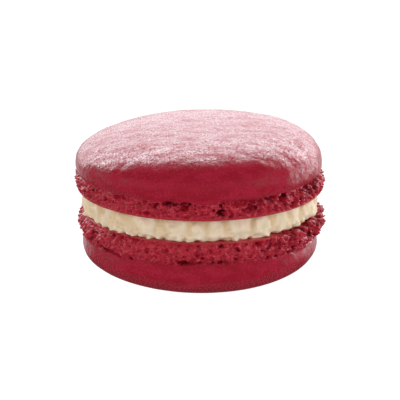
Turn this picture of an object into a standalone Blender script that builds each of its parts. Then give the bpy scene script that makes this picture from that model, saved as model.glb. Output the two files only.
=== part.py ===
"""A French macaron: two almond meringue shells with ruffled feet, and a layer of cream between them.

Metres, +Z up. The macaron rests on the flat spot of its lower shell's dome. The origin is on that spot's plane,
below the centre of the whole macaron's box. Azimuth 0 is +X, and -Y is the front.
"""

import math
import random

import bmesh
import bpy
from mathutils import Vector, noise

MM = 0.001

# Driving dimensions of the whole macaron
RIM_GAP = 4.1 * MM  # from the lower shell's flat face up to the upper shell's
FILLING_RADIUS = 21.7 * MM
CONTACT_GAP = 0.3 * MM  # left free between the cream and each shell
REST_CUT = 0.4 * MM  # how much of the lower dome its flat spot takes off

# A shell is modelled as it was baked: flat face down at z 0, foot above it, dome on top.
UPPER_SHELL = {
    "foot_height": 4.0 * MM,
    "wall_height": 0.8 * MM,  # from the foot up to the widest ring of the dome
    "wall_tuck": 0.4 * MM,  # how far the skin draws in where it meets the foot
    "dome_rise": 7.3 * MM,  # from the widest ring up to the crown
    "dome_radius": 23.2 * MM,
    "plan_power": 2.4,  # 2 is an ellipse, and more is a flatter crown with a rounder shoulder
    "rise_power": 2.6,
    "face_radius": 22.6 * MM,
    "flare": 1.0 * MM,  # how far the foot stands out past the dome, on average
    "flare_swing": 0.35 * MM,  # more of it at +X, less at -X
    "dome_shift": 0.05 * MM,  # the dome's centre along X
    "dome_lean": 0.045,  # rise of the crown for each metre along X
    "seed": 11,
}
LOWER_SHELL = {
    "foot_height": 4.5 * MM,
    "wall_height": 2.1 * MM,
    "wall_tuck": 0.3 * MM,
    "dome_rise": 7.0 * MM,
    "dome_radius": 22.3 * MM,
    "plan_power": 2.4,
    "rise_power": 2.0,
    "face_radius": 22.2 * MM,
    "flare": 1.5 * MM,
    "flare_swing": 0.7 * MM,
    "dome_shift": 0.3 * MM,
    "dome_lean": 0.01,
    "seed": 47,
}

# Relief of a foot: pleats, crumb, pits left by burst bubbles, and a smooth lip where it sat on the baking mat
LIP_HEIGHT = 0.45 * MM
PLEAT_WIDTH = 2.6 * MM
PLEAT_DEPTH = 0.5 * MM
CRUMB_SIZE = 1.5 * MM
CRUMB_DEPTH = 0.55 * MM
CRUMB_EDGE = 0.7  # a crumb hollow's radius as a share of the crumb size
PIT_COUNT = 64
PIT_RADIUS = (0.45 * MM, 1.15 * MM)
PIT_DEPTH_SHARE = 1.25  # a pit's depth as a share of its radius
PIT_BELT = (0.62, 0.86)  # heights on the foot, as a share, where two pits of three open; the others lie lower
LOW_PIT_BELT = (0.3, 0.6)
DOME_SWELL = 0.12 * MM  # slow unevenness of the dome
DOME_SWELL_LENGTH = 14 * MM

# Relief of the cream: furrows down its side, lumps, and a ragged lower edge
FURROW_WIDTH = 2.9 * MM
FURROW_DEPTH = 0.7 * MM
LUMP_SIZE = 1.6 * MM
LUMP_HEIGHT = 0.35 * MM
RAGGED_REACH = 0.5 * MM
FURROW_SHARPNESS = 3.5

# How finely the turned shapes are made, and what is left of them
TURN_STEPS = 288
FOOT_ROWS = 15
DOME_ROWS = 20
FILLING_ROWS = 11
SHELL_TRIANGLES = 5400
FILLING_TRIANGLES = 2600
MERGE_DISTANCE = 0.00001

SHELL_COLOUR = (0.285, 0.018, 0.036, 1.0)  # linear, a raspberry red
CREAM_COLOUR = (0.78, 0.63, 0.41, 1.0)


def clear_scene():
    """Empties the startup scene."""
    for thing in list(bpy.data.objects):
        bpy.data.objects.remove(thing, do_unlink=True)


def new_collection(name):
    """A collection in the scene for the macaron's pieces."""
    collection = bpy.data.collections.new(name)
    bpy.context.scene.collection.children.link(collection)
    return collection


def new_material(name, colour, roughness):
    """A plain Principled material."""
    material = bpy.data.materials.new(name)
    material.use_nodes = True
    shader = material.node_tree.nodes["Principled BSDF"]
    shader.inputs["Base Color"].default_value = colour
    shader.inputs["Roughness"].default_value = roughness
    shader.inputs["Metallic"].default_value = 0.0
    material.diffuse_color = colour
    return material


def smooth_step(low, high, value):
    """0 below low, 1 above high, and a smooth ramp between them."""
    share = min(1.0, max(0.0, (value - low) / (high - low)))
    return share * share * (3 - 2 * share)


def dome_height(shell, radius):
    """Height of the dome at a radius, as a superellipse."""
    share = min(1.0, radius / shell["dome_radius"])
    rise = shell["dome_rise"] * (1 - share ** shell["plan_power"]) ** (1 / shell["rise_power"])
    return shell["foot_height"] + shell["wall_height"] + rise


def dome_profile(shell):
    """(radius, height) points from the crown down to the widest ring, closer together at the shoulder."""
    points = []
    for row in range(DOME_ROWS + 1):
        turn = math.pi / 2 * row / DOME_ROWS
        radius = shell["dome_radius"] * math.sin(turn) ** (2 / shell["plan_power"])
        points.append((radius, dome_height(shell, radius)))
    return points


def foot_profile(shell):
    """(radius, height) points from under the skin's edge down to the flat face's rim."""
    top_radius = shell["dome_radius"] - shell["wall_tuck"]
    points = [(shell["dome_radius"] - shell["wall_tuck"] / 4, shell["foot_height"] + shell["wall_height"] / 2)]
    for row in range(FOOT_ROWS + 1):
        share = row / FOOT_ROWS
        height = shell["foot_height"] * (1 - share)
        straight = top_radius + (shell["face_radius"] + LIP_HEIGHT - top_radius) * share
        belly = math.sin(math.pi * min(1.0, share * 1.02)) ** 0.6 if 0 < share < 1 else 0.0
        points.append((straight + (shell["flare"] + shell["wall_tuck"]) * belly, max(height, LIP_HEIGHT * 0.4)))
    points.append((shell["face_radius"], 0.0))
    points.append((shell["face_radius"] * 0.8, 0.0))
    points.append((0.0, 0.0))
    return points


def filling_profile(height):
    """(radius, height) points of the cream, from the centre of its top down to the centre of its base."""
    points = [(0.0, height), (FILLING_RADIUS * 0.8, height)]
    for row in range(FILLING_ROWS + 1):
        share = row / FILLING_ROWS
        bulge = 0.02 * math.sin(math.pi * share) - 0.012 * (1 - share)
        points.append((FILLING_RADIUS * (1 + bulge), height * (1 - share)))
    points.append((FILLING_RADIUS * 0.8, 0.0))
    points.append((0.0, 0.0))
    return points


def turned_mesh(name, profile):
    """A profile at +X, listed down its outer side, turned round Z by a Screw modifier and made a mesh."""
    line = bpy.data.meshes.new(name + "_profile")
    corners = [(radius, 0.0, height) for radius, height in profile]
    line.from_pydata(corners, [(n, n + 1) for n in range(len(corners) - 1)], [])
    holder = bpy.data.objects.new(name + "_profile", line)
    bpy.context.scene.collection.objects.link(holder)
    screw = holder.modifiers.new("turn", "SCREW")
    screw.axis = "Z"
    screw.angle = 2 * math.pi
    screw.steps = TURN_STEPS
    screw.render_steps = TURN_STEPS
    screw.use_merge_vertices = True
    screw.merge_threshold = MERGE_DISTANCE
    graph = bpy.context.evaluated_depsgraph_get()
    mesh = bpy.data.meshes.new_from_object(holder.evaluated_get(graph))
    mesh.name = name
    bpy.data.objects.remove(holder, do_unlink=True)
    bpy.data.meshes.remove(line)
    return mesh


def scattered_pits(shell):
    """(azimuth, height, radius) of each pit, spread evenly round the foot with a seeded unevenness."""
    draw = random.Random(shell["seed"])
    pits = []
    for number in range(PIT_COUNT):
        azimuth = 2 * math.pi * (number + draw.uniform(-0.4, 0.4)) / PIT_COUNT
        belt = LOW_PIT_BELT if number % 3 == 0 else PIT_BELT
        height = shell["foot_height"] * draw.uniform(*belt)
        radius = PIT_RADIUS[0] + (PIT_RADIUS[1] - PIT_RADIUS[0]) * draw.random() ** 2
        pits.append((azimuth, height, radius))
    return pits


def pit_depth(point, azimuth, shell, pits):
    """How far the deepest pit at a point sets the surface in. A pit is a bowl, and zero past its edge."""
    deepest = 0.0
    for pit_azimuth, pit_height, pit_radius in pits:
        turn = math.remainder(azimuth - pit_azimuth, 2 * math.pi)
        away = math.hypot(turn * shell["dome_radius"], point.z - pit_height)
        if away < pit_radius:
            deepest = max(deepest, pit_radius * PIT_DEPTH_SHARE * math.sqrt(1 - (away / pit_radius) ** 2))
    return deepest


def foot_depth(point, shell, pits):
    """How far a foot's surface is set in at a point, as pleats, crumb and pits."""
    share = point.z / shell["foot_height"]
    azimuth = math.atan2(point.y, point.x)
    clear_of_lip = smooth_step(LIP_HEIGHT * 0.5, LIP_HEIGHT * 2.2, point.z)
    clear_of_dome = 1 - smooth_step(0.88, 1.02, share)
    band = clear_of_lip * clear_of_dome
    turns = shell["dome_radius"] / PLEAT_WIDTH
    pleat_place = Vector((math.cos(azimuth) * turns, math.sin(azimuth) * turns, share * 0.8 + shell["seed"]))
    pleat = 0.5 + 0.5 * noise.noise(pleat_place)
    cell = noise.voronoi(point / CRUMB_SIZE + Vector((shell["seed"], 0.0, 0.0)))[0][0]
    crumb = 1 - min(1.0, cell / CRUMB_EDGE) ** 2
    return band * (PLEAT_DEPTH * pleat + CRUMB_DEPTH * crumb + pit_depth(point, azimuth, shell, pits))


def shape_shell(mesh, shell):
    """Gives a turned shell its uneven flare, its leaning dome and the relief of its foot."""
    dome_base = shell["foot_height"]
    widest = dome_base + shell["wall_height"]
    pits = scattered_pits(shell)
    for vertex in mesh.vertices:
        point = vertex.co.copy()
        radius = math.hypot(point.x, point.y)
        if radius < MERGE_DISTANCE:
            vertex.co.x += shell["dome_shift"] * smooth_step(0.0, dome_base, point.z)
            continue
        outward = Vector((point.x / radius, point.y / radius, 0.0))
        up_dome = smooth_step(widest, widest + shell["dome_rise"], point.z)
        on_foot = smooth_step(0.0, LIP_HEIGHT * 2, point.z) * (1 - smooth_step(0.85, 1.1, point.z / dome_base))
        on_dome = smooth_step(0.9, 1.2, point.z / dome_base)
        swing = shell["flare_swing"] * outward.x * (0.4 + 0.6 * on_foot)
        swell_place = point / DOME_SWELL_LENGTH + Vector((0.0, shell["seed"], 0.0))
        swell = DOME_SWELL * noise.noise(swell_place)
        move = outward * (swing * (1 - on_dome) + swell)
        if 0 < point.z < dome_base:
            move -= outward * foot_depth(point, shell, pits)
        move.x += shell["dome_shift"] * smooth_step(0.0, 1.0, point.z / dome_base)
        if point.z > widest:
            move.z += shell["dome_lean"] * point.x * up_dome + swell
        vertex.co = point + move


def shape_filling(mesh, height):
    """Gives the turned cream its furrows, lumps and ragged lower edge. Its flat top and base stay flat inside."""
    for vertex in mesh.vertices:
        point = vertex.co.copy()
        radius = math.hypot(point.x, point.y)
        if radius < FILLING_RADIUS * 0.9:
            continue
        outward = Vector((point.x / radius, point.y / radius, 0.0))
        turns = FILLING_RADIUS / FURROW_WIDTH
        low = 1 - point.z / height
        crease = noise.noise(Vector((outward.x * turns, outward.y * turns, low * 0.7)))
        furrow = math.exp(-((crease * FURROW_SHARPNESS) ** 2))
        lump = noise.noise(point / LUMP_SIZE)
        ragged = noise.noise(outward * FILLING_RADIUS / LUMP_SIZE + Vector((0.0, 0.0, low))) * low**2
        grow = FURROW_DEPTH * (0.4 - furrow) + LUMP_HEIGHT * lump + RAGGED_REACH * ragged
        vertex.co = point + outward * grow


def thinned(mesh, triangles):
    """The mesh with flat stretches thinned out by a Decimate modifier, to about this many triangles."""
    holder = bpy.data.objects.new("thinning", mesh)
    bpy.context.scene.collection.objects.link(holder)
    shape = bmesh.new()
    shape.from_mesh(mesh)
    bmesh.ops.remove_doubles(shape, verts=shape.verts, dist=MERGE_DISTANCE)
    bmesh.ops.triangulate(shape, faces=shape.faces)
    bmesh.ops.recalc_face_normals(shape, faces=shape.faces)
    shape.to_mesh(mesh)
    shape.free()
    decimate = holder.modifiers.new("thin", "DECIMATE")
    decimate.ratio = min(1.0, triangles / len(mesh.polygons))
    graph = bpy.context.evaluated_depsgraph_get()
    thin = bpy.data.meshes.new_from_object(holder.evaluated_get(graph))
    thin.name = mesh.name
    bpy.data.objects.remove(holder, do_unlink=True)
    return thin


def cut_flat(mesh, height):
    """Cuts off what is above a height and closes the cut with one flat face."""
    shape = bmesh.new()
    shape.from_mesh(mesh)
    everything = list(shape.verts) + list(shape.edges) + list(shape.faces)
    bmesh.ops.bisect_plane(
        shape, geom=everything, dist=MERGE_DISTANCE / 10, plane_co=(0.0, 0.0, height),
        plane_no=(0.0, 0.0, 1.0), clear_outer=True,
    )
    rim = [edge for edge in shape.edges if edge.is_boundary]
    bmesh.ops.edgeloop_fill(shape, edges=rim)
    bmesh.ops.recalc_face_normals(shape, faces=shape.faces)
    shape.to_mesh(mesh)
    shape.free()


def add_piece(name, mesh, collection, material):
    """A named object for a mesh, shaded smooth, in the macaron's collection."""
    piece = bpy.data.objects.new(name, mesh)
    collection.objects.link(piece)
    mesh.materials.append(material)
    mesh.shade_smooth()
    return piece


def shell_height(shell):
    """From a shell's flat face to its crown."""
    return shell["foot_height"] + shell["wall_height"] + shell["dome_rise"]


def build_shell(name, shell, collection, material, rest_cut=0.0):
    """One shell as it was baked, flat face down. rest_cut takes a flat spot off its crown."""
    mesh = turned_mesh(name, dome_profile(shell) + foot_profile(shell))
    shape_shell(mesh, shell)
    mesh = thinned(mesh, SHELL_TRIANGLES)
    if rest_cut:
        cut_flat(mesh, shell_height(shell) - rest_cut)
    return add_piece(name, mesh, collection, material)


def build_filling(name, height, collection, material):
    """The layer of cream, its base at z 0."""
    mesh = turned_mesh(name, filling_profile(height))
    shape_filling(mesh, height)
    return add_piece(name, thinned(mesh, FILLING_TRIANGLES), collection, material)


def centre_over_origin(pieces):
    """Moves the pieces along X and Y so that the origin is below the centre of their common box."""
    bpy.context.view_layer.update()
    corners = [piece.matrix_world @ vertex.co for piece in pieces for vertex in piece.data.vertices]
    for axis in (0, 1):
        middle = (min(c[axis] for c in corners) + max(c[axis] for c in corners)) / 2
        for piece in pieces:
            piece.location[axis] -= middle


def main():
    clear_scene()
    macaron = new_collection("macaron")
    meringue = new_material("almond_meringue", SHELL_COLOUR, 0.55)
    cream = new_material("vanilla_cream", CREAM_COLOUR, 0.6)

    lower = build_shell("lower_shell", LOWER_SHELL, macaron, meringue, REST_CUT)
    lower_face = shell_height(LOWER_SHELL) - REST_CUT
    lower.rotation_euler = (math.pi, 0.0, 0.0)
    lower.location = (0.0, 0.0, lower_face)

    filling = build_filling("cream_filling", RIM_GAP - 2 * CONTACT_GAP, macaron, cream)
    filling.location = (0.0, 0.0, lower_face + CONTACT_GAP)

    upper = build_shell("upper_shell", UPPER_SHELL, macaron, meringue)
    upper.location = (0.0, 0.0, lower_face + RIM_GAP)

    centre_over_origin([lower, filling, upper])


main()
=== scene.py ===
"""The looks of a French macaron: two almond meringue shells with ruffled feet, and the cream between them.

Laid out as an add-on: the sizes and colours are settings, each piece has its operator, and a panel lists
them. Everything is in metres in the CAD's frame. The macaron stands on z 0 and the camera looks along +Y.
"""

import math

import bpy
from bpy.props import FloatProperty, IntProperty, PointerProperty, StringProperty
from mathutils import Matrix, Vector


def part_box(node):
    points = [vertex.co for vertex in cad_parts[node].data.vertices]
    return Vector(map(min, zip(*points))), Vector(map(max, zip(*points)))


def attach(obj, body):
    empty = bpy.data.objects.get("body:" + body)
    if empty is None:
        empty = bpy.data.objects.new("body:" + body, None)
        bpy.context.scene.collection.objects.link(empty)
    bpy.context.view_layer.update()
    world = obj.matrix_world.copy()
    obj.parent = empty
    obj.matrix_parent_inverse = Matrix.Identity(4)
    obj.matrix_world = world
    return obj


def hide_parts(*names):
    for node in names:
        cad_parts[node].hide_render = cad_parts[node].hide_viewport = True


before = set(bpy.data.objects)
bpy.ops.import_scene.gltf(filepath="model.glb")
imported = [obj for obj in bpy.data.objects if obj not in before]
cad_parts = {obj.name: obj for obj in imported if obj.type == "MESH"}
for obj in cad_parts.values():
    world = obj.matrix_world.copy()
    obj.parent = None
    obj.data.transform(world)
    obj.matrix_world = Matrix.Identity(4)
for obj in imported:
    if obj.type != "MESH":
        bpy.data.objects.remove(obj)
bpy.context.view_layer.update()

bl_info = {
    "name": "French macaron",
    "version": (1, 0, 0),
    "blender": (4, 5, 0),
    "location": "View3D > Sidebar > Macaron",
    "description": "Builds a French macaron from two meringue shells and a layer of cream",
    "category": "Add Mesh",
}

MM = 0.001
UPPER_FACE_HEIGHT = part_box("upper_shell")[0].z
LOWER_FACE_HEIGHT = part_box("lower_shell")[1].z
MACARON_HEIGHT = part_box("upper_shell")[1].z


def length_setting(name, description, millimetres):
    """A length that a user may change, shown in the scene's unit."""
    return FloatProperty(
        name=name, description=description, default=millimetres * MM, unit="LENGTH", precision=5
    )


def share_setting(name, description, default):
    """A plain number that a user may change."""
    return FloatProperty(name=name, description=description, default=default, precision=3)


def colour_setting(name, description, hex_colour):
    """An sRGB hex colour that a user may change."""
    return StringProperty(name=name, description=description, default=hex_colour)


class UpperShellSettings(bpy.types.PropertyGroup):
    foot_height: length_setting("Foot height", "From the flat face up to the skin", 3.7)
    wall_height: length_setting("Wall height", "From the foot up to the widest ring of the dome", 0.9)
    wall_tuck: length_setting("Wall tuck", "How far the skin draws in where it meets the foot", 0.4)
    dome_rise: length_setting("Dome rise", "From the widest ring up to the crown", 7.38)
    dome_radius: length_setting("Dome radius", "At the widest ring", 23.3)
    plan_power: share_setting("Flatness", "2 is an ellipse, and more is a flatter crown", 2.7)
    rise_power: share_setting("Shoulder", "2 is an ellipse, and more is a squarer shoulder", 2.6)
    face_radius: length_setting("Face radius", "Of the flat face that the cream touches", 22.3)
    lip_height: length_setting("Lip height", "The smooth rim that sat on the baking mat", 0.5)
    flare: length_setting("Foot flare", "How far the foot stands out past the dome", 0.7)
    rim_ruffle: share_setting("Rim ruffle", "How much of the ruffles reaches over the rim on the right", 0.0)
    foot_shift: length_setting("Foot shift", "The foot's centre along X", 0.05)
    dome_shift: length_setting("Dome shift", "The dome's centre along X", -0.25)
    dome_lean: share_setting("Dome lean", "Slope of the crown along X", 0.04)
    crown_relief: share_setting("Crown relief", "How much of the skin's relief is left at the crown", 1.0)
    seed: IntProperty(name="Seed", description="Another number gives other relief", default=11)


class LowerShellSettings(bpy.types.PropertyGroup):
    foot_height: length_setting("Foot height", "From the flat face to the skin", 4.5)
    wall_height: length_setting("Wall height", "From the foot to the widest ring of the dome", 2.1)
    wall_tuck: length_setting("Wall tuck", "How far the skin draws in where it meets the foot", 0.3)
    dome_rise: length_setting("Dome rise", "From the widest ring to the crown", 7.0)
    dome_radius: length_setting("Dome radius", "At the widest ring", 22.4)
    plan_power: share_setting("Flatness", "2 is an ellipse, and more is a flatter crown", 2.4)
    rise_power: share_setting("Shoulder", "2 is an ellipse, and more is a squarer shoulder", 2.0)
    face_radius: length_setting("Face radius", "Of the flat face that the cream touches", 22.2)
    lip_height: length_setting("Lip height", "The smooth rim that sat on the baking mat", 0.2)
    flare: length_setting("Foot flare", "How far the foot stands out past the dome", 1.22)
    rim_ruffle: share_setting("Rim ruffle", "How much of the ruffles reaches over the rim on the right", 0.8)
    foot_shift: length_setting("Foot shift", "The foot's centre along X", 0.7)
    dome_shift: length_setting("Dome shift", "The dome's centre along X", -0.05)
    dome_lean: share_setting("Dome lean", "Slope of the crown along X", 0.01)
    crown_relief: share_setting("Crown relief", "How much of the skin's relief is left at the crown", 0.2)
    seed: IntProperty(name="Seed", description="Another number gives other relief", default=47)


class FootSettings(bpy.types.PropertyGroup):
    column_width: length_setting("Column width", "Width of the columns that the rising batter made", 2.8)
    notch_depth: length_setting("Notch depth", "Depth of the notches between the columns on the right", 0.9)
    sag_depth: length_setting("Sag depth", "Depth of the wide soft hollows", 0.35)
    large_pit_spacing: length_setting("Large pit spacing", "Mean distance of the largest burst bubbles", 3.0)
    large_pit_depth: length_setting("Large pit depth", "Depth of the largest burst bubbles", 1.3)
    middle_pit_spacing: length_setting("Middle pit spacing", "Mean distance of the middle burst bubbles", 1.5)
    middle_pit_depth: length_setting("Middle pit depth", "Depth of the middle burst bubbles", 0.75)
    small_pit_spacing: length_setting("Small pit spacing", "Mean distance of the pores", 0.8)
    small_pit_depth: length_setting("Small pit depth", "Depth of the pores", 0.45)
    crumb_size: length_setting("Crumb size", "Size of the lumps of crumb", 0.95)
    crumb_height: length_setting("Crumb height", "How far the lumps of crumb stand out", 0.6)
    nub_size: length_setting("Nub size", "Size of the grains of crumb", 0.5)
    nub_height: length_setting("Nub height", "How far the grains of crumb stand out", 0.5)
    groove_depth: length_setting("Groove depth", "Depth of the gaps under the edge of the skin", 0.9)


class DomeSettings(bpy.types.PropertyGroup):
    swell_size: length_setting("Swell size", "Size of the slow unevenness of the skin", 7.0)
    swell_height: length_setting("Swell height", "Height of the slow unevenness", 0.32)
    dent_size: length_setting("Dent size", "Size of the small dents and wrinkles", 2.6)
    dent_depth: length_setting("Dent depth", "Depth of the small dents and wrinkles", 0.16)
    wrinkle_size: length_setting("Wrinkle size", "Size of the fine wrinkles", 1.0)
    wrinkle_depth: length_setting("Wrinkle depth", "Depth of the fine wrinkles", 0.045)
    pimple_spacing: length_setting(
        "Pimple spacing", "Mean distance of places where a nub of almond may show", 1.6
    )
    pimple_height: length_setting("Pimple height", "How far the nubs of almond lift the skin", 0.02)


class CreamSettings(bpy.types.PropertyGroup):
    radius: length_setting("Radius", "Mean radius of the cream's side", 21.9)
    overlap: length_setting("Overlap", "How far the cream presses into each face", 0.05)
    fold_width: length_setting("Fold width", "Width of the folds down the side", 5.0)
    fold_depth: length_setting("Fold depth", "Depth of the creases between folds", 0.4)
    lump_size: length_setting("Lump size", "Size of the soft lumps", 2.2)
    lump_height: length_setting("Lump height", "Height of the soft lumps", 1.1)
    knob_size: length_setting("Knob size", "Size of the knobs along the ragged lower edge", 1.5)
    knob_height: length_setting("Knob height", "How far the knobs stand out", 0.75)
    undercut: length_setting("Undercut", "How far the lower edge draws in between knobs", 0.9)
    curd_size: length_setting("Curd size", "Size of the fine curds of whipped butter", 1.1)
    curd_height: length_setting("Curd height", "Height of the fine curds", 0.22)


class FinishSettings(bpy.types.PropertyGroup):
    skin: colour_setting("Skin", "Raspberry red of the baked skin", "#9A192B")
    skin_light: colour_setting("Light specks", "Almond specks in the skin", "#AC273D")
    crumb: colour_setting("Crumb", "Red of the open crumb", "#B41C31")
    # Painted highlight: the raised grains of the crumb are painted lighter, as if lit
    crumb_highlight: colour_setting("Light crumb", "Raised grains of the crumb", "#D0374E")
    # Painted shade: the dark red that the pits are painted with stands in for the shade down in them
    pit: colour_setting("Pit", "Dark red inside the pits", "#580A19")
    cream: colour_setting("Cream", "Ivory of the cream", "#F0DFC3")
    # Painted shade: the deeper ivory stands in for the shade down in the creases
    cream_crease_shade: colour_setting("Cream crease", "Deeper ivory in the creases", "#DABB88")
    cloud_size: length_setting("Cloud size", "Size of the patches where the skin is a little duller", 1.6)
    grain_size: length_setting("Grain size", "Size of the ground almond's grain", 0.36)
    grain_height: length_setting("Grain height", "Height of the grain on the skin", 0.04)
    gloss_ahead: share_setting("Gloss ahead", "Specular level of the skin where it is seen straight on", 0.08)
    gloss_aslant: share_setting("Gloss aslant", "Specular level of the skin where it is seen aslant", 1.5)
    gloss_crumb: share_setting(
        "Gloss of the crumb", "Specular level of the open crumb where it is seen aslant", 1.6
    )
    fleck_size: length_setting("Fleck size", "Size of the matt flecks in the sheen", 0.4)
    crumb_grain_height: length_setting("Crumb grain height", "Height of the grain on the crumb", 0.18)


class StageSettings(bpy.types.PropertyGroup):
    camera_elevation: FloatProperty(
        name="Camera elevation", description="Above level", default=math.radians(17.1), subtype="ANGLE"
    )
    camera_distance: length_setting("Camera distance", "From the lens to the aim", 350.0)
    aim_across: length_setting("Aim across", "Where the camera aims along X", 0.0)
    aim_height: length_setting("Aim height", "Where the camera aims above the floor", 14.4)
    lens: FloatProperty(
        name="Lens", description="Focal length in millimetres", default=165.4, subtype="DISTANCE_CAMERA"
    )
    high_light: share_setting("High light", "Radiance of the softbox behind and above the macaron", 3.0)
    back_light: share_setting("Back light", "Radiance of the softbox low behind the macaron", 2.0)
    side_light: share_setting("Side light", "Radiance of the softbox on the right", 1.5)
    front_glow: share_setting("Front glow", "Brightness of the room in front", 0.8)
    side_glow: share_setting("Side glow", "Brightness of the room on both sides", 3.6)
    room_glow: share_setting("Room glow", "Brightness of the rest of the room", 0.2)
    behind_glow: share_setting("Behind glow", "Brightness mirrored from the tabletop behind", 0.7)
    shade_glow: share_setting("Shade glow", "Brightness mirrored from under the macaron", 0.05)
    floor: colour_setting("Floor", "Grey of the tabletop under its glow", "#505050")
    floor_glow: share_setting("Floor glow", "How bright the lit tabletop looks", 1.0)
    bounce_glow: share_setting(
        "Bounce glow", "Brightness of the tabletop round the macaron, as it lights the macaron", 0.58
    )


SETTINGS = {
    "macaron_upper_shell": UpperShellSettings,
    "macaron_lower_shell": LowerShellSettings,
    "macaron_foot": FootSettings,
    "macaron_dome": DomeSettings,
    "macaron_cream": CreamSettings,
    "macaron_finish": FinishSettings,
    "macaron_stage": StageSettings,
}

# How finely the turned shapes are made: a coarse cage, smoothed twice, and then thinned where it is flat
CAGE_STEPS = 220
FOOT_ROWS = 12
DOME_ROWS = 26
CREAM_ROWS = 9
SMOOTHINGS = 2
PIECE_TRIANGLES = 190000

# Rings of a flat face inside its rim, as shares of its radius
SHELL_FACE_RINGS = (0.8, 0.93, 0.985)
CREAM_FACE_RINGS = (0.85, 0.92, 0.97)

# How far the cream's side bulges and how far it narrows upwards, as shares of its radius
CREAM_BULGE = 0.02
CREAM_TAPER = 0.012

LEVEL_HOLLOW = 0.42  # the attribute hollow where the crumb is neither raised nor pitted
RUBBED_HEIGHTS = (2.0 * MM, 7.5 * MM)  # the skin is dull below the first and as baked above the second
WHITE = "#FFFFFF"
SOFTBOX_TINT = (0.97, 0.96, 1.0)  # a trace of blue, as daylight has
FLOOR_WIDTH = 6.0
FARTHEST_SEEN = 20.0


def add_node(tree, kind, inputs=(), output=0, **settings):
    """Adds a node with its properties, sets or links its inputs, and returns the output asked for."""
    node = tree.nodes.new(kind)
    for name, value in settings.items():
        setattr(node, name, value)
    pairs = inputs.items() if isinstance(inputs, dict) else enumerate(inputs)
    for key, value in pairs:
        if isinstance(value, bpy.types.NodeSocket):
            tree.links.new(value, node.inputs[key])
        else:
            node.inputs[key].default_value = value
    return node.outputs[output] if node.outputs else node


def linear(hex_colour):
    """The linear colour, with alpha, of an sRGB hex colour."""
    parts = [int(hex_colour[start : start + 2], 16) / 255 for start in (1, 3, 5)]
    return tuple(
        part / 12.92 if part <= 0.04045 else ((part + 0.055) / 1.055) ** 2.4 for part in parts
    ) + (1.0,)


def smooth_step(low, high, value):
    """0 below low, 1 above high, and a smooth ramp between them."""
    share = min(1.0, max(0.0, (value - low) / (high - low)))
    return share * share * (3 - 2 * share)


def turned_cage(name, rings):
    """A closed cage that starts as a filled circle and is extruded, scaled and tilted from ring to ring.

    A ring is (radius, height, shift along X, slope along X). The rings go from the flat face to the crown
    or the far face.
    """
    bpy.ops.object.select_all(action="DESELECT")
    radius, height, shift, slope = rings[0]
    bpy.ops.mesh.primitive_circle_add(vertices=CAGE_STEPS, radius=radius, fill_type="NGON")
    piece = bpy.context.object
    piece.name = name
    piece.data.name = name
    bpy.ops.object.mode_set(mode="EDIT")
    bpy.ops.mesh.select_all(action="SELECT")
    bpy.ops.transform.translate(value=(shift, 0.0, height))
    for next_radius, next_height, next_shift, next_slope in rings[1:]:
        step = (next_shift - shift, 0.0, next_height - height)
        centre = (next_shift, 0.0, next_height)
        bpy.ops.mesh.extrude_region_move(TRANSFORM_OT_translate={"value": step, "orient_type": "GLOBAL"})
        bpy.ops.transform.resize(value=(next_radius / radius,) * 3, center_override=centre)
        if next_slope != slope:
            turn = math.atan(next_slope) - math.atan(slope)
            bpy.ops.transform.rotate(value=turn, orient_axis="Y", center_override=centre)
        radius, height, shift, slope = next_radius, next_height, next_shift, next_slope
    bpy.ops.mesh.select_all(action="SELECT")
    bpy.ops.mesh.normals_make_consistent(inside=False)
    bpy.ops.object.mode_set(mode="OBJECT")
    return piece


def apply_modifier(piece, kind, **settings):
    """Adds a modifier to a piece with these settings and applies it."""
    bpy.context.view_layer.objects.active = piece
    modifier = piece.modifiers.new(kind.lower(), kind)
    for name, value in settings.items():
        setattr(modifier, name, value)
    bpy.ops.object.modifier_apply(modifier=modifier.name)


def shell_rings(sizes):
    """The rings of a shell as it was baked, flat face down."""
    widest = sizes.foot_height + sizes.wall_height
    foot_top_radius = sizes.dome_radius - sizes.wall_tuck
    foot_base_radius = sizes.face_radius + sizes.lip_height * 0.8
    rings = [(sizes.face_radius * share, 0.0, 0.0, 0.0) for share in SHELL_FACE_RINGS]
    for row in range(FOOT_ROWS + 1):
        share = row / FOOT_ROWS
        straight = foot_base_radius + (foot_top_radius - foot_base_radius) * share
        belly = math.sin(math.pi * (0.03 + 0.97 * share)) ** 0.7 if share < 1 else 0.0
        shift = sizes.foot_shift * (1 - share) + sizes.dome_shift * share
        height = sizes.foot_height * max(share, 0.25 / FOOT_ROWS)
        rings.append((straight + (sizes.flare + sizes.wall_tuck) * belly, height, shift, 0.0))
    rings.append(
        (sizes.dome_radius - sizes.wall_tuck / 4, sizes.foot_height + sizes.wall_height / 2, shift, 0.0)
    )
    for row in range(DOME_ROWS):
        turn = math.pi / 2 * (1 - row / DOME_ROWS)
        rise = math.cos(turn) ** (2 / sizes.rise_power)
        across = math.sin(turn) ** (2 / sizes.plan_power)
        slope = sizes.dome_lean * smooth_step(0.0, 1.0, rise)
        rings.append((sizes.dome_radius * across, widest + sizes.dome_rise * rise, sizes.dome_shift, slope))
    rings.append((sizes.dome_radius * 0.02, widest + sizes.dome_rise, sizes.dome_shift, sizes.dome_lean))
    return rings


def relief_tree(name):
    """An empty tree for a Geometry Nodes modifier, and its input."""
    tree = bpy.data.node_groups.new(name, "GeometryNodeTree")
    tree.interface.new_socket("Geometry", in_out="INPUT", socket_type="NodeSocketGeometry")
    tree.interface.new_socket("Geometry", in_out="OUTPUT", socket_type="NodeSocketGeometry")
    return tree, add_node(tree, "NodeGroupInput")


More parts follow.
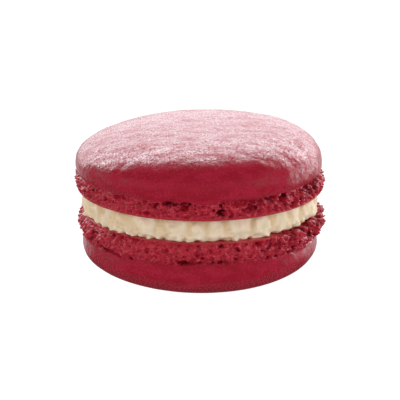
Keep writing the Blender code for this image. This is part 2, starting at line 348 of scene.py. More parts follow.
def pit_layer(tree, place, spacing, radius_share, kept):
    """0 on the surface and 1 at the bottom of pits round scattered points.

    kept is the share of the points that have a pit.
    """
    distance = add_node(tree, "ShaderNodeTexVoronoi", {"Vector": place, "Scale": 1 / spacing}, "Distance")
    bowl = add_node(
        tree, "ShaderNodeMapRange",
        {"Value": distance, "From Min": radius_share, "From Max": radius_share * 0.4, "To Min": 0.0,
         "To Max": 1.0},
        interpolation_type="SMOOTHSTEP",
    )
    draw = add_node(tree, "ShaderNodeSeparateXYZ", (distance.node.outputs["Color"],))
    chosen = add_node(tree, "ShaderNodeMath", (draw, 1 - kept), operation="GREATER_THAN")
    return add_node(tree, "ShaderNodeMath", (bowl, chosen), operation="MULTIPLY")


def foot_relief(tree, place, height, to_the_right, over_rim, sizes, foot):
    """How far in each point of the foot is set, how deep it is in a pit, and where the open crumb is."""
    foot_share = add_node(tree, "ShaderNodeMath", (height, sizes.foot_height), operation="DIVIDE")
    above_lip = add_node(
        tree, "ShaderNodeMapRange",
        {"Value": height, "From Min": sizes.lip_height * 0.6, "From Max": sizes.lip_height * 2.0},
        interpolation_type="SMOOTHSTEP",
    )
    edge_noise = add_node(tree, "ShaderNodeTexNoise", {"Vector": place, "Scale": 1 / foot.column_width})
    uneven_share = add_node(tree, "ShaderNodeMath", (edge_noise, 0.3, foot_share), operation="MULTIPLY_ADD")
    below_skin = add_node(
        tree, "ShaderNodeMapRange",
        {"Value": uneven_share, "From Min": 1.03, "From Max": 1.15, "To Min": 1.0, "To Max": 0.0},
        interpolation_type="SMOOTHSTEP",
    )
    carved = add_node(tree, "ShaderNodeMath", (above_lip, over_rim), operation="MAXIMUM")
    band = add_node(tree, "ShaderNodeMath", (carved, below_skin), operation="MULTIPLY")

    # Places pushed about a little, so that no pit is round
    push = add_node(
        tree, "ShaderNodeTexNoise", {"Vector": place, "Scale": 1 / foot.crumb_size, "Detail": 0.0}, "Color"
    )
    push = add_node(tree, "ShaderNodeVectorMath", (push, (0.5, 0.5, 0.5)), operation="SUBTRACT")
    push = add_node(
        tree, "ShaderNodeVectorMath", {0: push, "Scale": foot.crumb_size * 1.2}, operation="SCALE"
    )
    pushed = add_node(tree, "ShaderNodeVectorMath", (place, push), operation="ADD")
    upright = add_node(tree, "ShaderNodeVectorMath", (pushed, (1.0, 1.0, 0.3)), operation="MULTIPLY")

    # Notched columns on the right, where the batter rose unevenly, and soft hollows all round
    notch = add_node(
        tree, "ShaderNodeTexVoronoi", {"Vector": upright, "Scale": 1 / foot.column_width},
        "Distance", feature="DISTANCE_TO_EDGE",
    )
    notch = add_node(
        tree, "ShaderNodeMapRange",
        {"Value": notch, "From Min": 0.02, "From Max": 0.17, "To Min": foot.notch_depth, "To Max": 0.0},
        interpolation_type="SMOOTHSTEP",
    )
    ruffled = add_node(tree, "ShaderNodeMapRange", {"Value": to_the_right, "To Min": 0.2, "To Max": 1.0})
    notch = add_node(tree, "ShaderNodeMath", (notch, ruffled), operation="MULTIPLY")
    sag = add_node(
        tree, "ShaderNodeTexNoise", {"Vector": upright, "Scale": 0.8 / foot.column_width, "Detail": 1.0}
    )
    sag = add_node(
        tree, "ShaderNodeMapRange",
        {"Value": sag, "From Min": 0.3, "From Max": 0.65, "To Min": foot.sag_depth, "To Max": 0.0},
    )

    # Burst bubbles of three sizes, the largest ones high on the foot, and gaps under the edge of the skin
    high_on_foot = add_node(
        tree, "ShaderNodeMapRange",
        {"Value": foot_share, "From Min": 0.2, "From Max": 0.5, "To Min": 0.2, "To Max": 1.0},
    )
    large = pit_layer(tree, pushed, foot.large_pit_spacing, radius_share=0.42, kept=0.4)
    large = add_node(tree, "ShaderNodeMath", (large, high_on_foot), operation="MULTIPLY")
    middle = pit_layer(tree, pushed, foot.middle_pit_spacing, radius_share=0.4, kept=0.5)
    small = pit_layer(tree, pushed, foot.small_pit_spacing, radius_share=0.42, kept=0.6)
    near_skin = add_node(
        tree, "ShaderNodeMapRange",
        {"Value": foot_share, "From Min": 0.7, "From Max": 0.88, "To Min": 0.0, "To Max": 1.0},
        interpolation_type="SMOOTHSTEP",
    )
    gap = add_node(tree, "ShaderNodeTexNoise", {"Vector": upright, "Scale": 0.7 / foot.column_width})
    gap = add_node(
        tree, "ShaderNodeMapRange",
        {"Value": gap, "From Min": 0.52, "From Max": 0.62, "To Min": 0.0, "To Max": foot.groove_depth},
        interpolation_type="SMOOTHSTEP",
    )
    pit = add_node(tree, "ShaderNodeMath", (large, foot.large_pit_depth), operation="MULTIPLY")
    for layer, depth in ((middle, foot.middle_pit_depth), (small, foot.small_pit_depth), (near_skin, gap)):
        pit = add_node(tree, "ShaderNodeMath", (layer, depth, pit), operation="MULTIPLY_ADD")

    # Crumb: lumps, and grains on them
    lump = add_node(
        tree, "ShaderNodeTexNoise",
        {"Vector": place, "Scale": 1 / foot.crumb_size, "Detail": 1.0, "Roughness": 0.6},
    )
    lump = add_node(
        tree, "ShaderNodeMapRange",
        {"Value": lump, "From Min": 0.3, "From Max": 0.7, "To Min": foot.crumb_height / 2,
         "To Max": -foot.crumb_height / 2},
    )
    nub = add_node(
        tree, "ShaderNodeTexVoronoi", {"Vector": place, "Scale": 1 / foot.nub_size, "Smoothness": 0.3},
        "Distance", feature="SMOOTH_F1",
    )
    nub = add_node(
        tree, "ShaderNodeMapRange",
        {"Value": nub, "From Min": 0.0, "From Max": 0.65, "To Min": -foot.nub_height / 2,
         "To Max": foot.nub_height / 2},
        interpolation_type="SMOOTHSTEP",
    )
    inward = pit
    for layer in (sag, notch, lump, nub):
        inward = add_node(tree, "ShaderNodeMath", (inward, layer), operation="ADD")
    inward = add_node(tree, "ShaderNodeMath", (inward, -foot.crumb_height / 2), operation="MAXIMUM")
    inward = add_node(tree, "ShaderNodeMath", (inward, band), operation="MULTIPLY")
    # How deep each point lies; by it the material paints painted shade in the hollows and painted highlight
    # on the grains
    shade = add_node(tree, "ShaderNodeMath", (notch, 0.6, pit), operation="MULTIPLY_ADD")
    for layer in (lump, nub):
        shade = add_node(tree, "ShaderNodeMath", (shade, layer), operation="ADD")
    hollow = add_node(
        tree, "ShaderNodeMapRange",
        {"Value": shade, "From Min": -foot.crumb_height, "From Max": foot.crumb_height + foot.nub_height},
    )
    hollow = add_node(tree, "ShaderNodeMix", {0: band, 2: LEVEL_HOLLOW, 3: hollow})
    return inward, hollow, below_skin


def dome_relief(tree, place, height, to_the_side, sizes, dome):
    """The skin's relief: slow swells, dents that are deeper towards both sides, wrinkles and a few pimples.

    It grows weaker towards the crown where crown_relief is below 1.
    """
    swell = add_node(
        tree, "ShaderNodeTexNoise", {"Vector": place, "Scale": 1 / dome.swell_size, "Detail": 1.0}
    )
    outward = add_node(
        tree, "ShaderNodeMath", (swell, dome.swell_height, -dome.swell_height * 0.6), operation="MULTIPLY_ADD"
    )
    dent = add_node(
        tree, "ShaderNodeTexNoise",
        {"Vector": place, "Scale": 1 / dome.dent_size, "Detail": 3.0, "Roughness": 0.55},
    )
    dent = add_node(tree, "ShaderNodeMath", (dent, 0.5), operation="SUBTRACT")
    deeper = add_node(
        tree, "ShaderNodeMapRange",
        {"Value": to_the_side, "To Min": dome.dent_depth, "To Max": dome.dent_depth * 2.0},
    )
    outward = add_node(tree, "ShaderNodeMath", (dent, deeper, outward), operation="MULTIPLY_ADD")
    drawn_out = add_node(tree, "ShaderNodeVectorMath", (place, (0.45, 1.0, 1.0)), operation="MULTIPLY")
    wrinkle = add_node(
        tree, "ShaderNodeTexNoise", {"Vector": drawn_out, "Scale": 1 / dome.wrinkle_size, "Detail": 1.0}
    )
    outward = add_node(
        tree, "ShaderNodeMath", (wrinkle, dome.wrinkle_depth, outward), operation="MULTIPLY_ADD"
    )
    pimple = pit_layer(tree, place, dome.pimple_spacing, radius_share=0.25, kept=0.25)
    outward = add_node(
        tree, "ShaderNodeMath", (pimple, dome.pimple_height, outward), operation="MULTIPLY_ADD"
    )
    above_face = add_node(
        tree, "ShaderNodeMapRange",
        {"Value": height, "From Min": sizes.lip_height * 0.5, "From Max": sizes.lip_height * 2},
    )
    widest = sizes.foot_height + sizes.wall_height
    rubbed = add_node(
        tree, "ShaderNodeMapRange",
        {"Value": height, "From Min": widest, "From Max": widest + sizes.dome_rise * 0.7, "To Min": 1.0,
         "To Max": sizes.crown_relief},
    )
    outward = add_node(tree, "ShaderNodeMath", (outward, rubbed), operation="MULTIPLY")
    return add_node(tree, "ShaderNodeMath", (outward, above_face), operation="MULTIPLY")


def shape_shell(piece, sizes):
    """Smooths a shell's cage and gives it the relief of its foot and its skin.

    The material reads two attributes that are kept with the shape: hollow, which goes from 0 on the raised
    grains to 1 down in a pit and by which the material paints the grains lighter and the pits darker as
    painted highlight and painted shade, and crumb, which is 1 on the open crumb of the foot and 0 on the
    skin.
    """
    scene = bpy.context.scene
    apply_modifier(piece, "SUBSURF", levels=SMOOTHINGS, render_levels=SMOOTHINGS, use_limit_surface=False)
    tree, geometry = relief_tree(piece.name + "_relief")
    position = add_node(tree, "GeometryNodeInputPosition")
    axes = add_node(tree, "ShaderNodeSeparateXYZ", (position,), "Z").node
    across = add_node(tree, "ShaderNodeMath", (axes.outputs["X"],), operation="ABSOLUTE")
    to_the_side, to_the_right = (
        add_node(
            tree, "ShaderNodeMapRange",
            {"Value": value, "From Min": sizes.dome_radius * 0.4, "From Max": sizes.dome_radius * 0.8},
            interpolation_type="SMOOTHSTEP",
        )
        for value in (across, axes.outputs["X"])
    )

    # Another seed reads the patterns at another place
    place = add_node(
        tree, "ShaderNodeVectorMath", (position, (sizes.seed * 0.01, sizes.seed * 0.017, 0.0)),
        operation="ADD",
    )
    to_the_axis = add_node(tree, "ShaderNodeVectorMath", (position, (-1.0, -1.0, 0.0)), operation="MULTIPLY")
    radius = add_node(tree, "ShaderNodeVectorMath", (to_the_axis,), "Value", operation="LENGTH")
    at_rim = add_node(
        tree, "ShaderNodeMapRange",
        {"Value": radius, "From Min": sizes.face_radius * 0.9, "From Max": sizes.face_radius * 0.97,
         "To Max": sizes.rim_ruffle},
        interpolation_type="SMOOTHSTEP",
    )
    low_down = add_node(
        tree, "ShaderNodeMapRange",
        {"Value": axes.outputs["Z"], "From Min": sizes.foot_height * 0.4, "From Max": 0.0},
    )
    over_rim = at_rim
    for share in (to_the_right, low_down):
        over_rim = add_node(tree, "ShaderNodeMath", (over_rim, share), operation="MULTIPLY")
    inward, hollow, crumb = foot_relief(
        tree, place, axes.outputs["Z"], to_the_right, over_rim, sizes, scene.macaron_foot
    )
    outward = dome_relief(tree, place, axes.outputs["Z"], to_the_side, sizes, scene.macaron_dome)
    normal = add_node(tree, "GeometryNodeInputNormal")
    offset = add_node(tree, "ShaderNodeVectorMath", {0: normal, "Scale": outward}, operation="SCALE")

    # The foot is carved straight in from the side, and its rim on the right also from the flat face.
    # The skin is moved along its normal
    carving = add_node(tree, "ShaderNodeVectorMath", (to_the_axis,), operation="NORMALIZE")
    from_face = add_node(
        tree, "ShaderNodeVectorMath", {0: (0.0, 0.0, 2.0), "Scale": over_rim}, operation="SCALE"
    )
    carving = add_node(tree, "ShaderNodeVectorMath", (carving, from_face), operation="ADD")
    carving = add_node(tree, "ShaderNodeVectorMath", (carving,), operation="NORMALIZE")
    carved = add_node(tree, "ShaderNodeVectorMath", {0: carving, "Scale": inward}, operation="SCALE")
    offset = add_node(tree, "ShaderNodeVectorMath", (offset, carved), operation="ADD")
    moved = add_node(tree, "GeometryNodeSetPosition", {"Geometry": geometry, "Offset": offset})
    stored = moved
    for name, value in (("hollow", hollow), ("crumb", crumb)):
        stored = add_node(
            tree, "GeometryNodeStoreNamedAttribute", {"Geometry": stored, "Name": name, "Value": value}
        )
    add_node(tree, "NodeGroupOutput", (stored,))
    apply_modifier(piece, "NODES", node_group=tree)

    # The sharpest grains are softened, and the mesh is thinned to at most PIECE_TRIANGLES triangles
    apply_modifier(piece, "SMOOTH", factor=0.5, iterations=3)
    triangles = sum(len(face.vertices) - 2 for face in piece.data.polygons)
    apply_modifier(piece, "DECIMATE", ratio=min(1.0, PIECE_TRIANGLES / triangles))


def shape_cream(piece, cream, thickness):
    """Smooths the cream's cage and gives its side folds, lumps, and knobs along a ragged lower edge.

    The material reads the attribute hollow, which is 1 down in a crease, and paints shade there by it.
    """
    apply_modifier(piece, "SUBSURF", levels=SMOOTHINGS, render_levels=SMOOTHINGS, use_limit_surface=False)
    tree, geometry = relief_tree(piece.name + "_relief")
    position = add_node(tree, "GeometryNodeInputPosition")
    height = add_node(tree, "ShaderNodeSeparateXYZ", (position,), "Z")
    flat = add_node(tree, "ShaderNodeVectorMath", (position, (1.0, 1.0, 0.0)), operation="MULTIPLY")
    radius = add_node(tree, "ShaderNodeVectorMath", (flat,), "Value", operation="LENGTH")
    outward = add_node(tree, "ShaderNodeVectorMath", (flat,), operation="NORMALIZE")
    low = add_node(tree, "ShaderNodeMapRange", {"Value": height, "From Min": thickness, "From Max": 0.0})
    on_side = add_node(
        tree, "ShaderNodeMapRange",
        {"Value": radius, "From Min": cream.radius * 0.92, "From Max": cream.radius * 0.97},
        interpolation_type="SMOOTHSTEP",
    )

    # Folds with creases between them that fade towards the lower edge
    bent = add_node(tree, "ShaderNodeTexNoise", {"Vector": position, "Scale": 1 / cream.lump_size}, "Color")
    bent = add_node(
        tree, "ShaderNodeVectorMath", {0: bent, "Scale": cream.lump_size * 0.9}, operation="SCALE"
    )
    bent = add_node(tree, "ShaderNodeVectorMath", (position, bent), operation="ADD")
    upright = add_node(tree, "ShaderNodeVectorMath", (bent, (1.0, 1.0, 0.25)), operation="MULTIPLY")
    crease = add_node(
        tree, "ShaderNodeTexVoronoi", {"Vector": upright, "Scale": 1 / cream.fold_width},
        "Distance", feature="DISTANCE_TO_EDGE",
    )
    crease = add_node(
        tree, "ShaderNodeMapRange",
        {"Value": crease, "From Min": 0.0, "From Max": 0.2, "To Min": 1.0, "To Max": 0.0},
        interpolation_type="SMOOTHERSTEP",
    )
    fading = add_node(
        tree, "ShaderNodeMapRange",
        {"Value": low, "From Min": 0.2, "From Max": 1.0, "To Min": 1.0, "To Max": 0.3},
    )
    crease = add_node(tree, "ShaderNodeMath", (crease, fading), operation="MULTIPLY")
    move = add_node(tree, "ShaderNodeMath", (crease, -cream.fold_depth), operation="MULTIPLY")

    # Soft lumps, fine curds, knobs low down, and the lower edge drawn in between the knobs
    lump = add_node(
        tree, "ShaderNodeTexNoise", {"Vector": position, "Scale": 1 / cream.lump_size, "Detail": 0.0}
    )
    lump = add_node(tree, "ShaderNodeMath", (lump, 0.5), operation="SUBTRACT")
    move = add_node(tree, "ShaderNodeMath", (lump, cream.lump_height, move), operation="MULTIPLY_ADD")
    curd = add_node(
        tree, "ShaderNodeTexNoise", {"Vector": position, "Scale": 1 / cream.curd_size, "Detail": 1.0}
    )
    curd = add_node(tree, "ShaderNodeMath", (curd, 0.5), operation="SUBTRACT")
    move = add_node(tree, "ShaderNodeMath", (curd, cream.curd_height * 2, move), operation="MULTIPLY_ADD")
    knob = add_node(
        tree, "ShaderNodeTexVoronoi", {"Vector": position, "Scale": 1 / cream.knob_size, "Smoothness": 0.4},
        "Distance", feature="SMOOTH_F1",
    )
    knob = add_node(
        tree, "ShaderNodeMapRange",
        {"Value": knob, "From Min": 0.6, "From Max": 0.1, "To Min": 0.0, "To Max": cream.knob_height},
    )
    lower_half = add_node(tree, "ShaderNodeMapRange", {"Value": low, "From Min": 0.3, "From Max": 0.9})
    move = add_node(tree, "ShaderNodeMath", (knob, lower_half, move), operation="MULTIPLY_ADD")
    edge = add_node(
        tree, "ShaderNodeMapRange",
        {"Value": low, "From Min": 0.72, "From Max": 1.0},
        interpolation_type="SMOOTHSTEP",
    )
    ragged = add_node(
        tree, "ShaderNodeTexNoise", {"Vector": position, "Scale": 1 / cream.knob_size, "Detail": 0.0}
    )
    ragged = add_node(
        tree, "ShaderNodeMapRange",
        {"Value": ragged, "From Min": 0.3, "From Max": 0.65, "To Min": -cream.undercut, "To Max": 0.0},
    )
    move = add_node(tree, "ShaderNodeMath", (edge, ragged, move), operation="MULTIPLY_ADD")
    move = add_node(tree, "ShaderNodeMath", (move, on_side), operation="MULTIPLY")
    offset = add_node(tree, "ShaderNodeVectorMath", {0: outward, "Scale": move}, operation="SCALE")
    moved = add_node(tree, "GeometryNodeSetPosition", {"Geometry": geometry, "Offset": offset})
    stored = add_node(
        tree, "GeometryNodeStoreNamedAttribute", {"Geometry": moved, "Name": "hollow", "Value": crease}
    )
    add_node(tree, "NodeGroupOutput", (stored,))
    apply_modifier(piece, "NODES", node_group=tree)


def material_tree(name):
    """A new material and its empty node tree."""
    material = bpy.data.materials.new(name)
    material.use_nodes = True
    material.node_tree.nodes.clear()
    return material, material.node_tree


def almond_meringue():
    """Baked almond meringue: a thin skin with an eggshell sheen, and open crumb where the foot rose.

    The skin dried before it was baked, so it is smooth but for the fine grain of ground almonds, and bright
    light skims off it. The crumb under it burst while it rose: its raised grains are painted lighter, a
    painted highlight, and glint where they are seen aslant, and its pits are painted dark red, a painted
    shade, and are dull.
    """
    name = "baked_almond_meringue"
    if name in bpy.data.materials:
        return bpy.data.materials[name]
    finish = bpy.context.scene.macaron_finish
    material, tree = material_tree(name)
    place = add_node(tree, "ShaderNodeTexCoord", output="Object")
    crumb = add_node(tree, "ShaderNodeAttribute", output="Fac", attribute_name="crumb")
    hollow = add_node(tree, "ShaderNodeAttribute", output="Fac", attribute_name="hollow")

    grain = add_node(
        tree, "ShaderNodeTexNoise",
        {"Vector": place, "Scale": 1 / finish.grain_size, "Detail": 2.0, "Roughness": 0.6},
    )
    speck = add_node(tree, "ShaderNodeMapRange", {"Value": grain, "From Min": 0.45, "From Max": 0.65})
    drawn_out = add_node(tree, "ShaderNodeVectorMath", (place, (0.4, 1.0, 1.0)), operation="MULTIPLY")
    cloud = add_node(
        tree, "ShaderNodeTexNoise", {"Vector": drawn_out, "Scale": 1 / finish.cloud_size, "Detail": 2.0}
    )
    patch = add_node(
        tree, "ShaderNodeMapRange",
        {"Value": cloud, "From Min": 0.35, "From Max": 0.65, "To Min": -0.5, "To Max": 0.5},
    )
    mottle = add_node(tree, "ShaderNodeMath", (speck, patch), operation="ADD", use_clamp=True)
    skin = add_node(
        tree, "ShaderNodeMix",
        {0: mottle, 6: linear(finish.skin), 7: linear(finish.skin_light)},
        2, data_type="RGBA",
    )
    # Painted highlight: the higher a grain of crumb stands, the lighter it is painted
    raised = add_node(tree, "ShaderNodeMapRange", {"Value": hollow, "From Min": 0.4, "From Max": 0.15})
    # Painted shade: the deeper a point lies in a pit, the darker red it is painted, and the less it shines
    pit_shade = add_node(tree, "ShaderNodeMapRange", {"Value": hollow, "From Min": 0.55, "From Max": 0.95})
    open_crumb = add_node(
        tree, "ShaderNodeMix", {0: raised, 6: linear(finish.crumb), 7: linear(finish.crumb_highlight)}, 2,
        data_type="RGBA",
    )
    open_crumb = add_node(
        tree, "ShaderNodeMix", {0: pit_shade, 6: open_crumb, 7: linear(finish.pit)}, 2, data_type="RGBA"
    )
    colour = add_node(tree, "ShaderNodeMix", {0: crumb, 6: skin, 7: open_crumb}, 2, data_type="RGBA")

    skin_roughness = add_node(
        tree, "ShaderNodeMapRange",
        {"Value": grain, "From Min": 0.42, "From Max": 0.62, "To Min": 0.2, "To Max": 0.34},
    )
    roughness = add_node(tree, "ShaderNodeMix", {0: crumb, 2: skin_roughness, 3: 0.28})

    # The underside is rubbed smooth and dull by what it lay on
    height = add_node(tree, "ShaderNodeSeparateXYZ", (place,), "Z")
    rubbed = add_node(
        tree, "ShaderNodeMapRange",
        {"Value": height, "From Min": RUBBED_HEIGHTS[0], "From Max": RUBBED_HEIGHTS[1]},
    )
    skin_relief = add_node(tree, "ShaderNodeMath", (rubbed, finish.grain_height), operation="MULTIPLY")
    relief = add_node(tree, "ShaderNodeMix", {0: crumb, 2: skin_relief, 3: finish.crumb_grain_height})
    relief = add_node(tree, "ShaderNodeMath", (grain, relief), operation="MULTIPLY")
    bump = add_node(tree, "ShaderNodeBump", {"Height": relief, "Distance": 1.0, "Strength": 1.0})

    # The dry skin hardly mirrors what is in front of it, and shines where it is seen aslant
    aslant = add_node(tree, "ShaderNodeLayerWeight", output="Facing")
    gloss = add_node(
        tree, "ShaderNodeMapRange",
        {"Value": aslant, "From Min": 0.28, "From Max": 0.42, "To Min": finish.gloss_ahead,
         "To Max": finish.gloss_aslant},
    )
    dulled = add_node(
        tree, "ShaderNodeMapRange",
        {"Value": grain, "From Min": 0.38, "From Max": 0.6, "To Min": 1.6, "To Max": 0.4},
    )
    worn = add_node(
        tree, "ShaderNodeMapRange",
        {"Value": cloud, "From Min": 0.4, "From Max": 0.62, "To Min": 1.4, "To Max": 0.4},
    )

    # Flecks where a grain of almond lies bare hardly shine
    fleck = add_node(
        tree, "ShaderNodeTexNoise", {"Vector": place, "Scale": 1 / finish.fleck_size, "Detail": 1.0}
    )
    sheen = add_node(
        tree, "ShaderNodeMapRange",
        {"Value": fleck, "From Min": 0.5, "From Max": 0.66, "To Min": 1.0, "To Max": 0.2},
    )
    for share in (dulled, worn, sheen, rubbed):
        gloss = add_node(tree, "ShaderNodeMath", (gloss, share), operation="MULTIPLY")
    crumb_gloss = add_node(
        tree, "ShaderNodeMapRange",
        {"Value": aslant, "From Min": 0.2, "From Max": 0.8, "To Min": finish.gloss_crumb * 0.2,
         "To Max": finish.gloss_crumb},
    )
    closed = add_node(tree, "ShaderNodeMath", (1.0, pit_shade), operation="SUBTRACT")
    crumb_gloss = add_node(tree, "ShaderNodeMath", (crumb_gloss, closed), operation="MULTIPLY")
    gloss = add_node(tree, "ShaderNodeMix", {0: crumb, 2: gloss, 3: crumb_gloss})
    shader = add_node(
        tree, "ShaderNodeBsdfPrincipled",
        {"Base Color": colour, "Roughness": roughness, "Normal": bump, "IOR": 1.5,
         "Specular IOR Level": gloss},
    )
    add_node(tree, "ShaderNodeOutputMaterial", (shader,))
    return material


def butter_cream():
    """Whipped butter cream: matt and softly translucent, with painted shade, a deeper ivory, down in its
    creases, and random patches of the same ivory.
    """
    finish = bpy.context.scene.macaron_finish
    material, tree = material_tree("vanilla_butter_cream")
    place = add_node(tree, "ShaderNodeTexCoord", output="Object")
    hollow = add_node(tree, "ShaderNodeAttribute", output="Fac", attribute_name="hollow")
    cloud = add_node(
        tree, "ShaderNodeTexNoise", {"Vector": place, "Scale": 1 / bpy.context.scene.macaron_cream.lump_size}
    )
    cloud = add_node(
        tree, "ShaderNodeMapRange", {"Value": cloud, "From Min": 0.45, "From Max": 0.8, "To Max": 0.5}
    )
    # Painted shade in the creases, and patches of random tone elsewhere
    deep = add_node(tree, "ShaderNodeMath", (hollow, 0.8), operation="MULTIPLY")
    crease_shade_and_tone = add_node(tree, "ShaderNodeMath", (deep, cloud), operation="MAXIMUM")
    colour = add_node(
        tree, "ShaderNodeMix",
        {0: crease_shade_and_tone, 6: linear(finish.cream), 7: linear(finish.cream_crease_shade)},
        2, data_type="RGBA",
    )
    curd = add_node(
        tree, "ShaderNodeTexNoise", {"Vector": place, "Scale": 1 / finish.grain_size, "Detail": 2.0}
    )
    relief = add_node(tree, "ShaderNodeMath", (curd, finish.grain_height), operation="MULTIPLY")
    bump = add_node(tree, "ShaderNodeBump", {"Height": relief, "Distance": 1.0, "Strength": 1.0})
    shader = add_node(
        tree, "ShaderNodeBsdfPrincipled",
        {"Base Color": colour, "Roughness": 0.55, "Normal": bump, "Specular IOR Level": 0.3,
         "Subsurface Weight": 0.15, "Subsurface Radius": (1.0, 0.6, 0.35), "Subsurface Scale": 1.2 * MM},
    )
    add_node(tree, "ShaderNodeOutputMaterial", (shader,))
    return material


def finish_piece(piece, make_material, node):
    """Shades a piece, gives it its material, and ties it to the CAD node that it stands for."""
    bpy.ops.object.select_all(action="DESELECT")
    piece.select_set(True)
    bpy.context.view_layer.objects.active = piece
    bpy.ops.object.shade_smooth()
    piece.data.materials.clear()
    piece.data.materials.append(make_material())
    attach(piece, "root")
    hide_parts(node)


class MACARON_OT_upper_shell(bpy.types.Operator):
    """Build the upper meringue shell, dome up"""

    bl_idname = "macaron.upper_shell"
    bl_label = "Upper shell"

    def execute(self, context):
        sizes = context.scene.macaron_upper_shell
        piece = turned_cage("meringue_upper", shell_rings(sizes))
        shape_shell(piece, sizes)
        bpy.ops.object.mode_set(mode="EDIT")
        bpy.ops.mesh.select_all(action="SELECT")
        bpy.ops.transform.translate(value=(0.0, 0.0, UPPER_FACE_HEIGHT))
        bpy.ops.object.mode_set(mode="OBJECT")
        finish_piece(piece, almond_meringue, "upper_shell")
        return {"FINISHED"}


class MACARON_OT_lower_shell(bpy.types.Operator):
    """Build the lower meringue shell, dome down, with the flat spot that it rests on"""

    bl_idname = "macaron.lower_shell"
    bl_label = "Lower shell"

    def execute(self, context):
        sizes = context.scene.macaron_lower_shell
        piece = turned_cage("meringue_lower", shell_rings(sizes))
        shape_shell(piece, sizes)
        bpy.ops.object.mode_set(mode="EDIT")
        bpy.ops.mesh.select_all(action="SELECT")
        bpy.ops.transform.rotate(value=math.pi, orient_axis="X", center_override=(0.0, 0.0, 0.0))
        bpy.ops.transform.translate(value=(0.0, 0.0, LOWER_FACE_HEIGHT))
        bpy.ops.mesh.bisect(
            plane_co=(0.0, 0.0, 0.0), plane_no=(0.0, 0.0, -1.0), clear_outer=True, use_fill=True,
            threshold=MM / 1000,
        )
        bpy.ops.object.mode_set(mode="OBJECT")
        finish_piece(piece, almond_meringue, "lower_shell")
        return {"FINISHED"}


class MACARON_OT_cream(bpy.types.Operator):
    """Build the layer of cream between the shells"""

    bl_idname = "macaron.cream"
    bl_label = "Cream"

    def execute(self, context):
        cream = context.scene.macaron_cream
        thickness = UPPER_FACE_HEIGHT - LOWER_FACE_HEIGHT + 2 * cream.overlap
        rings = [(cream.radius * share, 0.0, 0.0, 0.0) for share in CREAM_FACE_RINGS]
        for row in range(CREAM_ROWS + 1):
            share = row / CREAM_ROWS
            bulge = CREAM_BULGE * math.sin(math.pi * share) - CREAM_TAPER * share
            rings.append((cream.radius * (1 + bulge), thickness * share, 0.0, 0.0))
        rings += [(cream.radius * share, thickness, 0.0, 0.0) for share in reversed(CREAM_FACE_RINGS)]
        piece = turned_cage("cream", rings)
        shape_cream(piece, cream, thickness)
        bpy.ops.object.mode_set(mode="EDIT")
        bpy.ops.mesh.select_all(action="SELECT")
        bpy.ops.transform.translate(value=(0.0, 0.0, LOWER_FACE_HEIGHT - cream.overlap))
        bpy.ops.object.mode_set(mode="OBJECT")
        finish_piece(piece, butter_cream, "cream_filling")
        return {"FINISHED"}


def add_softbox(name, azimuth, elevation, distance, size, radiance):
    """A softbox that faces the macaron. In degrees, azimuth 0 is the camera's side and 90 is the right."""
    azimuth, elevation = math.radians(azimuth), math.radians(elevation)
    middle = Vector((0.0, 0.0, MACARON_HEIGHT / 2))
    level = math.cos(elevation)
    away = Vector((math.sin(azimuth) * level, -math.cos(azimuth) * level, math.sin(elevation)))
    bpy.ops.object.light_add(type="AREA", location=middle + away * distance)
    softbox = bpy.context.object
    softbox.name = name
    softbox.rotation_euler = away.to_track_quat("Z", "Y").to_euler()
    softbox.data.shape = "RECTANGLE"
    softbox.data.size, softbox.data.size_y = size
    softbox.data.energy = radiance * math.pi * size[0] * size[1]
    softbox.data.color = SOFTBOX_TINT


def lit_tabletop(stage):
    """A pale tabletop under even light.

    It looks white to the camera and lights the macaron less, as it lies in its shade there.
    """
    material, tree = material_tree("white_lit_tabletop")
    seen = add_node(tree, "ShaderNodeLightPath", output="Is Camera Ray")
    strength = add_node(tree, "ShaderNodeMix", {0: seen, 2: stage.bounce_glow, 3: stage.floor_glow})
    shader = add_node(
        tree, "ShaderNodeBsdfPrincipled",
        {"Base Color": linear(stage.floor), "Roughness": 0.8, "Specular IOR Level": 0.1,
         "Emission Color": linear(WHITE), "Emission Strength": strength},
    )
    add_node(tree, "ShaderNodeOutputMaterial", (shader,))
    return material


def light_room(scene, stage):
    """Lights the room that the skin mirrors.

    Its walls are bright on both sides and dimmer behind the camera, and the ceiling and the back are dark.
    Below level, the far end of the tabletop is lit and what is under the macaron lies in shade.
    """
    world = scene.world or bpy.data.worlds.new("room")
    scene.world = world
    world.use_nodes = True
    tree = world.node_tree
    tree.nodes.clear()
    direction = add_node(tree, "ShaderNodeTexCoord", output="Generated")
    axes = add_node(tree, "ShaderNodeSeparateXYZ", (direction,), "Z").node
    across = add_node(tree, "ShaderNodeMath", (axes.outputs["X"],), operation="ABSOLUTE")
    beside = add_node(
        tree, "ShaderNodeMapRange", {"Value": across, "From Min": 0.62, "From Max": 0.97},
        interpolation_type="SMOOTHSTEP",
    )
    ramps = {}
    for name, axis, low, high in (
        ("ahead", "Y", 0.1, -0.3), ("behind", "Y", 0.4, 0.9), ("above", "Z", -0.15, 0.05),
        ("level", "Z", 0.85, 0.55), ("far", "Z", -0.5, -0.25),
    ):
        ramps[name] = add_node(
            tree, "ShaderNodeMapRange", {"Value": axes.outputs[axis], "From Min": low, "From Max": high},
            interpolation_type="SMOOTHSTEP",
        )
    on_walls = add_node(tree, "ShaderNodeMath", (ramps["level"], ramps["ahead"]), operation="MULTIPLY")
    wall = add_node(tree, "ShaderNodeMix", {0: beside, 2: stage.front_glow, 3: stage.side_glow})
    room = add_node(tree, "ShaderNodeMix", {0: on_walls, 2: stage.room_glow, 3: wall})
    low_behind = add_node(tree, "ShaderNodeMath", (ramps["far"], ramps["behind"]), operation="MULTIPLY")
    table = add_node(tree, "ShaderNodeMix", {0: low_behind, 2: stage.shade_glow, 3: stage.behind_glow})
    glow = add_node(tree, "ShaderNodeMix", {0: ramps["above"], 2: table, 3: room})
    backdrop = add_node(tree, "ShaderNodeBackground", {"Color": linear(WHITE), "Strength": glow})
    add_node(tree, "ShaderNodeOutputWorld", (backdrop,))


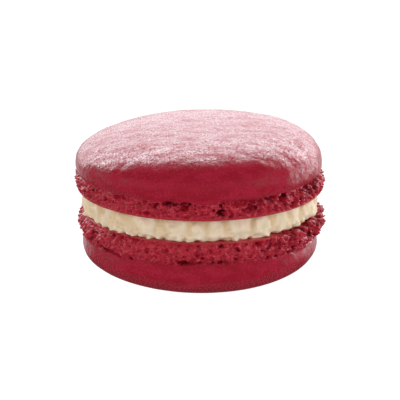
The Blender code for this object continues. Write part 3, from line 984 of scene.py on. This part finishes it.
class MACARON_OT_stage(bpy.types.Operator):
    """Build the camera, the soft studio light and the pale floor"""

    bl_idname = "macaron.stage"
    bl_label = "Stage"

    def execute(self, context):
        scene = context.scene
        stage = scene.macaron_stage
        aim = Vector((stage.aim_across, 0.0, stage.aim_height))
        elevation = stage.camera_elevation
        back = Vector((0.0, -math.cos(elevation), math.sin(elevation)))
        bpy.ops.object.camera_add(location=aim + back * stage.camera_distance)
        camera = bpy.context.object
        camera.rotation_euler = back.to_track_quat("Z", "Y").to_euler()
        camera.data.lens = stage.lens
        camera.data.clip_start = stage.camera_distance / 50
        camera.data.clip_end = FARTHEST_SEEN
        scene.camera = camera
        scene.view_settings.view_transform = "Standard"

        # What the skin mirrors low down is the room's low glow, which is shaded under the macaron
        bpy.ops.mesh.primitive_plane_add(size=FLOOR_WIDTH)
        floor = bpy.context.object
        floor.name = "floor"
        floor.visible_glossy = False
        floor.visible_shadow = False
        floor.data.materials.append(lit_tabletop(stage))

        light_room(scene, stage)
        for name, azimuth, elevation, distance, size, radiance in (
            ("high_softbox", 180, 41, 0.8, (1.7, 0.46), stage.high_light),
            ("back_softbox", 180, 12, 0.8, (1.8, 0.36), stage.back_light),
            ("right_softbox", 118, 16, 0.7, (0.6, 0.75), stage.side_light),
        ):
            add_softbox(name, azimuth, elevation, distance, size, radiance)
        return {"FINISHED"}


OPERATORS = (MACARON_OT_lower_shell, MACARON_OT_cream, MACARON_OT_upper_shell, MACARON_OT_stage)


class MACARON_PT_panel(bpy.types.Panel):
    bl_label = "Macaron"
    bl_idname = "MACARON_PT_panel"
    bl_space_type = "VIEW_3D"
    bl_region_type = "UI"
    bl_category = "Macaron"

    def draw(self, context):
        for operator in OPERATORS:
            self.layout.operator(operator.bl_idname)
        for name, group in SETTINGS.items():
            box = self.layout.box()
            box.label(text=name.replace("macaron_", "").replace("_", " ").capitalize())
            for setting in group.__annotations__:
                box.prop(getattr(context.scene, name), setting)


CLASSES = (*SETTINGS.values(), *OPERATORS, MACARON_PT_panel)


def register():
    for each in CLASSES:
        bpy.utils.register_class(each)
    for name, group in SETTINGS.items():
        setattr(bpy.types.Scene, name, PointerProperty(type=group))


def unregister():
    for name in SETTINGS:
        delattr(bpy.types.Scene, name)
    for each in reversed(CLASSES):
        bpy.utils.unregister_class(each)


def main():
    register()
    bpy.ops.macaron.lower_shell()
    bpy.ops.macaron.cream()
    bpy.ops.macaron.upper_shell()
    bpy.ops.macaron.stage()


if __name__ == "__main__":
    main()
